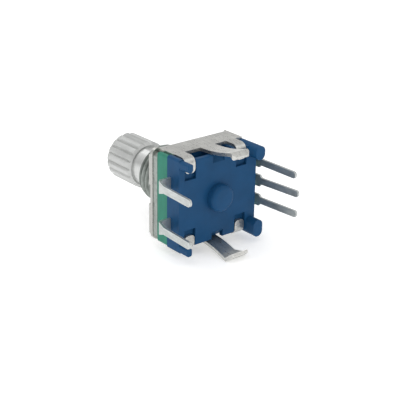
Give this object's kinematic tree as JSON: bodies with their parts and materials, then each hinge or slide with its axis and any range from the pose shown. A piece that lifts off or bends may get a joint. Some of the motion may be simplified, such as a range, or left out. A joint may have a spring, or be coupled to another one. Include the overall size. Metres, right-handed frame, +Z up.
{
  "type": "rotary encoder",
  "caption": "Incremental rotary encoder with a knurled push shaft, threaded bushing, steel frame with two board lugs, moulded base and through-hole terminals.",
  "frame": {"origin": "on the shaft axis, in the plane of the raised pads that meet the panel", "axes": "-Y along the shaft to its tip, +Y to the circuit board, +Z up, -X the side of the three encoder terminals, +X the side of the two switch terminals"},
  "size_m": [0.0159, 0.0233, 0.0132],
  "materials": {
    "shaft_metal": "satin, machined",
    "cast_zinc": "nickel plated die casting",
    "frame_steel": "plated, stamped sheet",
    "terminal_metal": "tin plated",
    "contact_bronze": "spring bronze",
    "spring_steel": "bright spring steel",
    "green_plastic": "moulded, slightly glossy",
    "blue_plastic": "moulded, slightly glossy",
    "rotor_plastic": "natural acetal",
    "film": "thin amber film"
  },
  "bodies": {
    "housing": {"bushing": "cast_zinc", "frame": "frame_steel", "encoder_wafer": "green_plastic", "detent_spring": "spring_steel", "wiper_a": "contact_bronze", "wiper_c": "contact_bronze", "wiper_b": "contact_bronze", "terminal_a": "terminal_metal", "terminal_c": "terminal_metal", "terminal_b": "terminal_metal", "switch_base": "blue_plastic", "switch_terminal_d": "terminal_metal", "switch_terminal_e": "terminal_metal", "snap_dome": "spring_steel", "dome_film": "film"},
    "rotor": {"detent_rotor": "rotor_plastic", "code_disc": "contact_bronze"},
    "shaft": {"knurled_shaft": "shaft_metal", "retaining_clip": "spring_steel"},
    "plunger": {"switch_plunger": "rotor_plastic"}
  },
  "joints": [
    {"name": "shaft_turn", "type": "hinge", "parent": "housing", "child": "rotor", "pos_m": [0, 0, 0], "axis": [0, -1, 0], "continuous": true, "deforming": ["detent_spring"]},
    {"name": "shaft_push", "type": "slide", "parent": "rotor", "child": "shaft", "axis": [0, 1, 0], "range_m": [0, 0.0005], "stiffness_N_per_m": 8000, "springref_m": -0.0001},
    {"name": "plunger_push", "type": "slide", "parent": "housing", "child": "plunger", "axis": [0, 1, 0], "range_m": [0, 0.0005], "deforming": ["snap_dome", "dome_film"]}
  ],
  "couplings": [
    {"joint": "plunger_push", "follows": "shaft_push", "ratio": 1}
  ]
}
